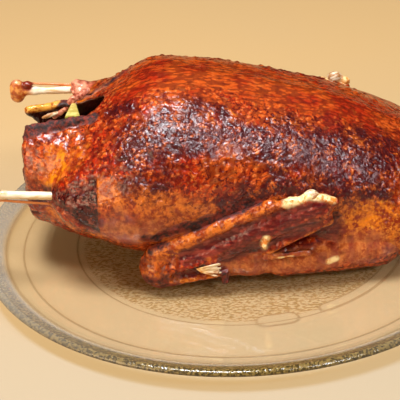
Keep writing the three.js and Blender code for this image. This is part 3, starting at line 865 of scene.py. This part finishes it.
def finish_material(tree, inputs, bumps=()):
    """A principled surface whose small relief is a chain of bumps: height, strength, distance."""
    normal = None
    for height, strength, distance in bumps:
        settings = {"Height": height, "Strength": strength, "Distance": distance * MM}
        if normal is not None:
            settings["Normal"] = normal
        normal = node(tree, "ShaderNodeBump", settings).outputs["Normal"]
    if normal is not None:
        inputs = {**inputs, "Normal": normal}
    shader = node(tree, "ShaderNodeBsdfPrincipled", inputs)
    node(tree, "ShaderNodeOutputMaterial", {"Surface": shader.outputs[0]})
    return shader


def squeezed(tree, where, turn, factor):
    """Coordinates that make noise run along a direction in the XZ plane, turned up from +X."""
    return node(tree, "ShaderNodeMapping", {"Vector": where, "Rotation": (0, turn, 0),
                                            "Scale": (factor, 1, 1)}, vector_type="TEXTURE").outputs[0]


def blend_values(tree, share, a, b):
    return node(tree, "ShaderNodeMix", {0: share, 2: a, 3: b}, data_type="FLOAT").outputs[0]


def cells(tree, where, wavelength):
    """Rounded pimples: 1 in the middle of each and 0 in the creases between them."""
    inputs = {"Vector": where, "Scale": 1 / (wavelength * MM), "Randomness": 1.0}
    distance = node(tree, "ShaderNodeTexVoronoi", inputs).outputs["Distance"]
    return ramp(tree, distance, 0.62, 0.05)


def vector_maths(tree, operation, inputs):
    return node(tree, "ShaderNodeVectorMath", inputs, operation=operation).outputs[0]


def wavy(tree, where, wavelength, amount):
    """Coordinates pushed about by noise, so that a pattern on them isn't straight."""
    inputs = {"Vector": where, "Scale": 1 / (wavelength * MM), "Detail": 2.0}
    push = node(tree, "ShaderNodeTexNoise", inputs).outputs["Color"]
    push = vector_maths(tree, "SUBTRACT", {0: push, 1: (0.5, 0.5, 0.5)})
    push = vector_maths(tree, "SCALE", {0: push, "Scale": amount * MM})
    return vector_maths(tree, "ADD", {0: where, 1: push})


# Where the skin is stretched its pimples run along it: attribute, angle, stretch, wavelength
PIMPLE_RUNS = (("diagonal", -38, 3.0, 2.1), ("upright", -84, 2.2, 2.3), ("crown", 0, 3.5, 2.4))
# The colours of each tone: attribute, a noise's range with its two tints, and flecks by another noise
# UNDER_CREASES are laid before the painted crease shade, OVER_CREASES after it.
UNDER_CREASES = (
    ("orange", ("mottle", 0.41, 0.58, (142, 50, 12), (210, 110, 34)),
     ("spots", 0.42, 0.33, 0.8, (110, 34, 10))),
    ("gold", ("mottle", 0.42, 0.58, (128, 34, 6), (212, 112, 16)),
     ("small", 0.56, 0.7, 0.6, (232, 158, 50))),
    ("drip", ("mottle", 0.42, 0.6, (140, 46, 10), (200, 96, 18)),
     ("drips", 0.48, 0.64, 0.9, (224, 134, 20))),
    ("tan", ("mottle", 0.4, 0.6, (156, 66, 30), (204, 118, 58)),
     ("drips", 0.56, 0.4, 0.6, (140, 60, 46))),
    ("meat", ("streaks", 0.38, 0.62, (78, 14, 22), (142, 52, 38))),
    ("torn", ("middle", 0.36, 0.56, (150, 62, 42), (232, 154, 122))),
    ("patch", ("mottle", 0.46, 0.6, (40, 6, 10), (138, 62, 44))),
)
OVER_CREASES = (
    ("char", ("mottle", 0.42, 0.6, (30, 5, 6), (124, 38, 20))),
    ("pale", ("mottle", 0.42, 0.54, (222, 132, 48), (246, 218, 158))),
    # The inside tone is one near-black colour: painted shade in the opening.
    ("inside", ("mottle", 0.0, 1.0, (44, 12, 6), (44, 12, 6))),
    ("lip", ("mottle", 0.42, 0.56, (150, 66, 14), (228, 160, 62))),
)
SMOOTH_TONES = ("gold", "orange", "drip", "torn", "tan")


def skin_noises(tree, where):
    """The patterns that the skin's colours and relief are made of."""
    bent = wavy(tree, where, 7, 4)
    middle = grain(tree, where, 6.0, 4, 0.62, 0.5)
    small = grain(tree, where, 1.8, 3, 0.6, 0.5)
    pimples = cells(tree, bent, 3.0)
    for name, turn, factor, wavelength in PIMPLE_RUNS:
        running = cells(tree, squeezed(tree, bent, math.radians(turn), factor), wavelength)
        pimples = blend_values(tree, value_of(tree, name), pimples, running)
    return {
        "broad": grain(tree, where, 20, 3),
        "middle": middle,
        "small": small,
        "pimples": pimples,
        "mottle": maths(tree, "ADD", times(tree, middle, 0.6), times(tree, small, 0.4)),
        "spots": grain(tree, bent, 2.4, 2, 0.5, 0.3),
        "streaks": grain(tree, squeezed(tree, where, 0, 6), 2.6, 3),
        "drips": grain(tree, squeezed(tree, where, math.radians(-90), 5), 5.0, 3),
    }


def roasted(tree, noises):
    """Red-brown skin with flecks, calmer on the crown and darkest where it is mahogany."""
    crown, mahogany = value_of(tree, "crown"), value_of(tree, "mahogany")
    calm = ramp(tree, crown, 0, 1, 1.0, 0.2)
    lively = ramp(tree, crown, 0, 1, 1.0, 0.35)
    matt = ramp(tree, mahogany, 0, 1, calm, 0.15)
    flecks = (
        (lively, "mottle", 0.47, 0.37, 1.0, (96, 14, 6)),
        (lively, "mottle", 0.53, 0.64, 1.0, (206, 104, 34)),
        (calm, "spots", 0.45, 0.35, 1.0, (96, 16, 8)),
        (matt, "spots", 0.56, 0.67, 0.5, (226, 130, 66)),
        (crown, "streaks", 0.54, 0.68, 0.5, (110, 24, 6)),
        (mahogany, "mottle", 0.64, 0.46, 1.0, (58, 8, 14)),
    )
    colour = two_tints(tree, noises["broad"], 0.4, 0.6, (158, 36, 8), (186, 74, 18))
    for strength, name, low, high, most, tint in flecks:
        share = times(tree, strength, ramp(tree, noises[name], low, high, 0, most))
        colour = mix(tree, share, colour, paint(*tint))
    return colour


def toned(tree, noises, colour, tones):
    """A colour with each tone laid over it."""
    for name, (noise_name, low, high, first, second), *flecks in tones:
        tint = two_tints(tree, noises[noise_name], low, high, first, second)
        for fleck_noise, start, end, most, fleck in flecks:
            share = ramp(tree, noises[fleck_noise], start, end, 0, most)
            tint = mix(tree, share, tint, paint(*fleck))
        colour = mix(tree, value_of(tree, name), colour, tint)
    return colour


def skin_material():
    material, tree = new_material("roast_skin")
    noises = skin_noises(tree, place(tree))
    small, pimples = noises["small"], noises["pimples"]
    colour = toned(tree, noises, roasted(tree, noises), UNDER_CREASES)
    smooth = value_of(tree, SMOOTH_TONES[0])
    for name in SMOOTH_TONES[1:]:
        smooth = maths(tree, "MAXIMUM", smooth, value_of(tree, name))
    # Painted shade in the creases between pimples, weaker on the smooth tones.
    crease_shade_strength = ramp(tree, smooth, 0, 1, 0.6, 0.1)
    creases = times(tree, crease_shade_strength, ramp(tree, pimples, 0.3, 0.0))
    colour = mix(tree, creases, colour, paint(72, 10, 6))
    # Darker where the crease value is high: painted shade in wrinkles and between fibres, and the crumbs'
    # own char colour.
    colour = mix(tree, times(tree, value_of(tree, "crease_shade_and_crumbs"), 0.4), colour, paint(60, 12, 6))
    colour = toned(tree, noises, colour, OVER_CREASES)
    rough = ramp(tree, small, 0.3, 0.7, 0.11, 0.26)
    rough = times(tree, rough, ramp(tree, value_of(tree, "crown"), 0, 1, 1.0, 0.7))
    rough = maths(tree, "MAXIMUM", rough, times(tree, value_of(tree, "char"), 0.75))
    inputs = {"Base Color": colour, "Roughness": rough, "Specular IOR Level": 0.5}
    sharp = ramp(tree, value_of(tree, "mahogany"), 0, 1, 0.4, 0.85)
    sharp = times(tree, sharp, ramp(tree, value_of(tree, "tan"), 0, 1, 1.0, 0.45))
    bumps = [(noises["middle"], 0.35, 1.2), (pimples, sharp, 0.5), (small, sharp, 0.5)]
    finish_material(tree, inputs, bumps)
    return material


def bone_material():
    material, tree = new_material("bone")
    where = place(tree)
    stain = grain(tree, squeezed(tree, where, 0, 4), 3, 3)
    colour = two_tints(tree, stain, 0.42, 0.68, (230, 218, 192), (206, 168, 112))
    knuckle = two_tints(tree, grain(tree, where, 4, 3), 0.4, 0.6, (226, 150, 76), (170, 78, 30))
    colour = mix(tree, value_of(tree, "knuckle"), colour, knuckle)
    colour = mix(tree, value_of(tree, "strand"), colour, paint(206, 124, 66))
    colour = mix(tree, value_of(tree, "lump"), colour, paint(120, 34, 14))
    inputs = {"Base Color": colour, "Roughness": 0.28}
    finish_material(tree, inputs, [(grain(tree, where, 1.5, 3), 0.3, 0.3)])
    return material


def gristle_material():
    material, tree = new_material("gristle")
    where = place(tree)
    brown = two_tints(tree, grain(tree, where, 3.0, 3), 0.42, 0.58, (238, 204, 140), (216, 134, 56))
    fibres = grain(tree, squeezed(tree, where, math.radians(-23), 6), 1.6, 2)
    beige = two_tints(tree, fibres, 0.42, 0.6, (172, 118, 70), (230, 210, 176))
    colour = mix(tree, value_of(tree, "knuckle"), beige, brown)
    inputs = {"Base Color": colour, "Roughness": 0.28}
    finish_material(tree, inputs, [(grain(tree, where, 1.6, 3), 0.4, 0.4)])
    return material


def apple_material():
    material, tree = new_material("apple")
    where = place(tree)
    colour = two_tints(tree, grain(tree, where, 4, 3), 0.4, 0.6, (176, 154, 72), (206, 190, 110))
    colour = mix(tree, value_of(tree, "peel"), colour, paint(132, 128, 40))
    inputs = {"Base Color": colour, "Roughness": 0.38}
    finish_material(tree, inputs, [(grain(tree, where, 1.2, 3), 0.3, 0.3)])
    return material


def dress(piece, material, slot, *nodes):
    piece.data.materials.clear()
    piece.data.materials.append(material)
    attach(piece, "root")
    if nodes:
        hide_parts(*nodes)


# Plate

PLATE_RISE = ((FLAT_RADIUS, FLAT_TOP), (138.5, 6.5), (145.5, 9.2), (152.3, 11.6), (154.5, RIM_TOP),
              (156.6, 11.8), (PLATE_RADIUS, 10.0), (155.5, 8.2), (148.5, 4.6), (140.5, 1.4), (131.5, 0.0))
PLATE_TURNS = 384
STIPPLE_RADIUS = 97.0
STIPPLE_RINGS = 76
STIPPLE_HEIGHT = 0.3
RING_LINES = (100.3, 133.0, 143.4)
# Smooth raised panels on the stippled disc: inner and outer radius, first and last angle
PANELS = ((92, 104, -87.5, -73), (93, 101, -64.6, -22))
PANEL_HEIGHT = 0.3


def spline(knots, steps):
    """Points on a smooth curve through the knots."""
    knots = [np.array(k, float) for k in knots]
    ends = [2 * knots[0] - knots[1], *knots, 2 * knots[-1] - knots[-2]]
    made = []
    for before, a, b, after in zip(ends, ends[1:], ends[2:], ends[3:]):
        for t in np.arange(steps) / steps:
            made.append(0.5 * (2 * a + (b - before) * t + (2 * before - 5 * a + 4 * b - after) * t ** 2
                               + (3 * a - before - 3 * b + after) * t ** 3))
    return [*made, knots[-1]]


def lathe(section, turns, start_pole, end_pole):
    """Points and faces of a section turned about Z, closed by a pole at each end."""
    angles = np.arange(turns) / turns * math.tau
    rings = [np.stack([r * np.cos(angles), r * np.sin(angles), np.full(turns, h)], 1) for r, h in section]
    points = np.concatenate([*rings, [[0, 0, start_pole], [0, 0, end_pole]]])
    first = np.arange(turns)
    after = (first + 1) % turns
    faces = []
    for ring in range(len(section) - 1):
        a, b = ring * turns, (ring + 1) * turns
        faces += np.stack([a + first, a + after, b + after, b + first], 1).tolist()
    last = (len(section) - 1) * turns
    top, bottom = len(points) - 2, len(points) - 1
    faces += [[top, int(b), int(a)] for a, b in zip(first, after)]
    faces += [[bottom, int(last + a), int(last + b)] for a, b in zip(first, after)]
    return points, faces


def inside_panels(points):
    """How far inside a smooth round-ended panel each point is, below 0 outside them all."""
    x, y = points[:, :2].T
    radius, angle = np.hypot(x, y), np.arctan2(y, x)
    depths = []
    for inner, outer, start, end in PANELS:
        half, middle = (outer - inner) / 2, (outer + inner) / 2
        turn, reach = math.radians((start + end) / 2), math.radians(end - start) / 2 * middle - half
        beyond = np.maximum(np.abs(angle - turn) * middle - reach, 0)
        depths.append(half - np.hypot(radius - middle, beyond))
    return np.max(depths, axis=0)


def make_plate():
    disc = [(r, DISC_TOP) for r in np.linspace(1.2, STIPPLE_RADIUS, STIPPLE_RINGS)]
    edge = [(r, DISC_TOP) for r in np.linspace(STIPPLE_RADIUS + 0.8, DISC_RADIUS - 0.7, 3)]
    step = [(DISC_RADIUS, DISC_TOP + 0.1), (DISC_RADIUS + 0.6, FLAT_TOP)]
    flat = [(r, FLAT_TOP) for r in (*np.linspace(DISC_RADIUS + 1.4, DISC_RADIUS + 6, 6), FLAT_RADIUS - 4)]
    bead = [(FLAT_RADIUS - 1.4, FLAT_TOP), (FLAT_RADIUS - 0.7, FLAT_TOP + 0.35)]
    rise = [tuple(p) for p in spline(PLATE_RISE, 8)]
    under = [(r, 0.0) for r in (120, 80, 40, 5)]
    section = [*disc, *edge, *step, *flat, *bead, *rise, *under]
    section = [(min(r, PLATE_RADIUS), min(max(h, 0), RIM_TOP)) for r, h in section]
    points, faces = lathe(section, PLATE_TURNS, DISC_TOP, 0.0)
    radius = np.hypot(points[:, 0], points[:, 1])
    upper = points[:, 2] > DISC_TOP - 0.1
    panel = inside_panels(points)
    fade = smooth_step(STIPPLE_RADIUS, STIPPLE_RADIUS - 2, radius) * smooth_step(0.5, -0.5, panel) * upper
    stippled = fade > 0
    pips = noise_at(points[stippled], 2.6, 40, 1)
    points[stippled, 2] += STIPPLE_HEIGHT * fade[stippled] * (pips - 1)
    points[:, 2] += PANEL_HEIGHT * smooth_step(-0.4, 1.0, panel) * upper
    faces = [face[::-1] for face in faces]
    piece = make_mesh("plate_glass", points, faces)
    # The rim is made olive and part opaque, most at the front and back: partly the glass's own tint, partly
    # painted shade standing in for thick glass seen edge-on.
    across = 0.5 + 0.5 * np.abs(points[:, 1]) / np.maximum(radius, 1)
    add_values(piece, "rim", smooth_step(143, 149, radius) * across)
    add_values(piece, "stipple", fade)
    # Narrow bands at the ring steps and round the panels, which the glass paints as dark lines: painted
    # shade standing in for refraction at those edges.
    lines = [np.exp(-(((radius - ring) / 0.7) ** 2)) for ring in RING_LINES]
    lines.append(np.exp(-((panel / 0.8) ** 2)))
    add_values(piece, "line", np.max(lines, axis=0) * upper)
    return piece


def glass_material():
    material, tree = new_material("plate_glass")
    where = place(tree)
    ripple = grain(tree, where, 1.6, 2)
    pips = grain(tree, squeezed(tree, where, 0, 1.8), 1.5, 1, 0.5, 0.4)
    rim = value_of(tree, "rim")
    stipple = value_of(tree, "stipple")
    # The rim's olive: the glass's tint deepened into painted shade of thick glass seen edge-on.
    olive = two_tints(tree, ripple, 0.4, 0.6, (76, 60, 22), (150, 124, 66))
    tint = mix(tree, rim, paint(253, 251, 246), olive)
    # Over the stipple the glass is tinted pale and brown by the pips: painted light and shade standing in
    # for the stipple's refraction.
    pressed = two_tints(tree, pips, 0.58, 0.4, (253, 248, 236), (196, 164, 112))
    tint = mix(tree, stipple, tint, pressed)
    # Dark lines at the rings and panel edges: painted shade.
    tint = mix(tree, times(tree, value_of(tree, "line"), 0.8), tint, paint(164, 130, 76))
    height = maths(tree, "ADD", times(tree, ripple, rim), times(tree, pips, stipple))
    bump = node(tree, "ShaderNodeBump", {"Height": height, "Strength": 0.8, "Distance": 0.35 * MM})
    inputs = {"Base Color": tint, "Roughness": 0.04, "IOR": 1.5,
              "Transmission Weight": ramp(tree, rim, 0, 1, 1.0, 0.45),
              "Normal": bump.outputs["Normal"]}
    glass = node(tree, "ShaderNodeBsdfPrincipled", inputs)
    passing = mix(tree, rim, paint(253, 249, 240), paint(240, 230, 208))
    clear = node(tree, "ShaderNodeBsdfTransparent", {"Color": passing})
    path = node(tree, "ShaderNodeLightPath").outputs
    straight = maths(tree, "MAXIMUM", path["Is Shadow Ray"], path["Is Diffuse Ray"])
    both = node(tree, "ShaderNodeMixShader", {0: straight, 1: glass.outputs[0], 2: clear.outputs[0]})
    node(tree, "ShaderNodeOutputMaterial", {"Surface": both.outputs[0]})
    return material


# Floor, camera and light

def make_floor():
    corners = [(x * FLOOR_HALF, y * FLOOR_HALF, 0) for x, y in ((-1, -1), (1, -1), (1, 1), (-1, 1))]
    floor = make_mesh("floor", corners, [(0, 1, 2, 3)], smooth=False)
    floor.location.z = -FLOOR_DROP * MM
    material, tree = new_material("pale_floor")
    broad = grain(tree, place(tree), 240, 2)
    # The floor goes from warm at the back to darker and greyer near the camera: painted shading standing in
    # for uneven light on the table; the broad noise is random tone.
    painted_falloff = node(tree, "ShaderNodeSeparateXYZ", {0: place(tree)}).outputs["Y"]
    painted_falloff = ramp(tree, painted_falloff, 300 * MM, -200 * MM)
    painted_falloff = maths(tree, "ADD", painted_falloff, times(tree, maths(tree, "SUBTRACT", broad, 0.5), 0.3))
    colour = mix(tree, painted_falloff, paint(198, 163, 113), paint(175, 157, 130))
    finish_material(tree, {"Base Color": colour, "Roughness": 0.6, "Specular IOR Level": 0.2})
    floor.data.materials.append(material)


def make_camera():
    camera = bpy.data.cameras.new("camera")
    camera.lens = CAMERA_LENS
    camera.sensor_width = CAMERA_SENSOR
    camera.clip_end = 50
    holder = placed("camera", camera)
    pitch, roll = math.radians(CAMERA_PITCH), math.radians(CAMERA_ROLL)
    forward = Vector((0, math.cos(pitch), -math.sin(pitch)))
    right = Vector((1, 0, 0))
    up = Vector((0, math.sin(pitch), math.cos(pitch)))
    across = math.cos(roll) * right - math.sin(roll) * up
    upright = math.sin(roll) * right + math.cos(roll) * up
    turn = Matrix((across, upright, -forward)).transposed()
    holder.matrix_world = Matrix.Translation(Vector(CAMERA_PLACE) * MM) @ turn.to_4x4()
    bpy.context.scene.camera = holder


def make_light(name, place_at, target, size, power, colour):
    lamp = bpy.data.lights.new(name, "AREA")
    lamp.shape = "RECTANGLE"
    lamp.size, lamp.size_y = (side * MM for side in size)
    lamp.energy = power
    lamp.color = colour
    holder = placed(name, lamp)
    turn = (Vector(target) - Vector(place_at)).to_track_quat("-Z", "Y")
    holder.matrix_world = Matrix.Translation(Vector(place_at) * MM) @ turn.to_matrix().to_4x4()


def make_world():
    world = bpy.data.worlds.new("studio")
    world.use_nodes = True
    tree = world.node_tree
    upward = node(tree, "ShaderNodeSeparateXYZ", {0: node(tree, "ShaderNodeTexCoord").outputs["Generated"]})
    sky = mix(tree, ramp(tree, upward.outputs["Z"], 0.4, 0.95), HORIZON, ZENITH)
    tree.links.new(sky, tree.nodes["Background"].inputs["Color"])
    bpy.context.scene.world = world


make_camera()
make_world()
for light_name, light_values in LIGHTS.items():
    make_light(light_name, *light_values)
make_floor()
bpy.context.scene.view_settings.view_transform = "Standard"

skin = skin_material()
gristle = gristle_material()
bone = bone_material()
dress(make_body(), skin, "roast_skin", "duck")
dress(make_wing("wing_near", NEAR_WING, NEAR_WING_CELL), skin, "roast_skin", "duck")
dress(make_wing("wing_far", FAR_WING, FAR_WING_CELL), skin, "roast_skin", "duck")
dress(make_plate(), glass_material(), "plate_glass", "plate")
dress(make_bone("bone_near", NEAR_LEG), bone, "bone", "leg_bone_near")
dress(make_bone("bone_far", FAR_LEG), bone, "bone", "leg_bone_far")
dress(make_knob("knob_near", NEAR_WING), gristle, "gristle", "wing_knob_near")
dress(make_knob("knob_far", FAR_WING), gristle, "gristle", "wing_knob_far")
dress(make_apple(), apple_material(), "apple", "apple_wedge")
dress(make_tendons("tendons_near", NEAR_WING), gristle, "gristle")
dress(make_tendons("tendons_far", FAR_WING), gristle, "gristle")
dress(make_strand(), skin, "roast_skin")
dress(make_small("fat_scrap", scrap_shape, [SCRAP["centre"]], 9, 0.4, 0.5), gristle, "gristle")
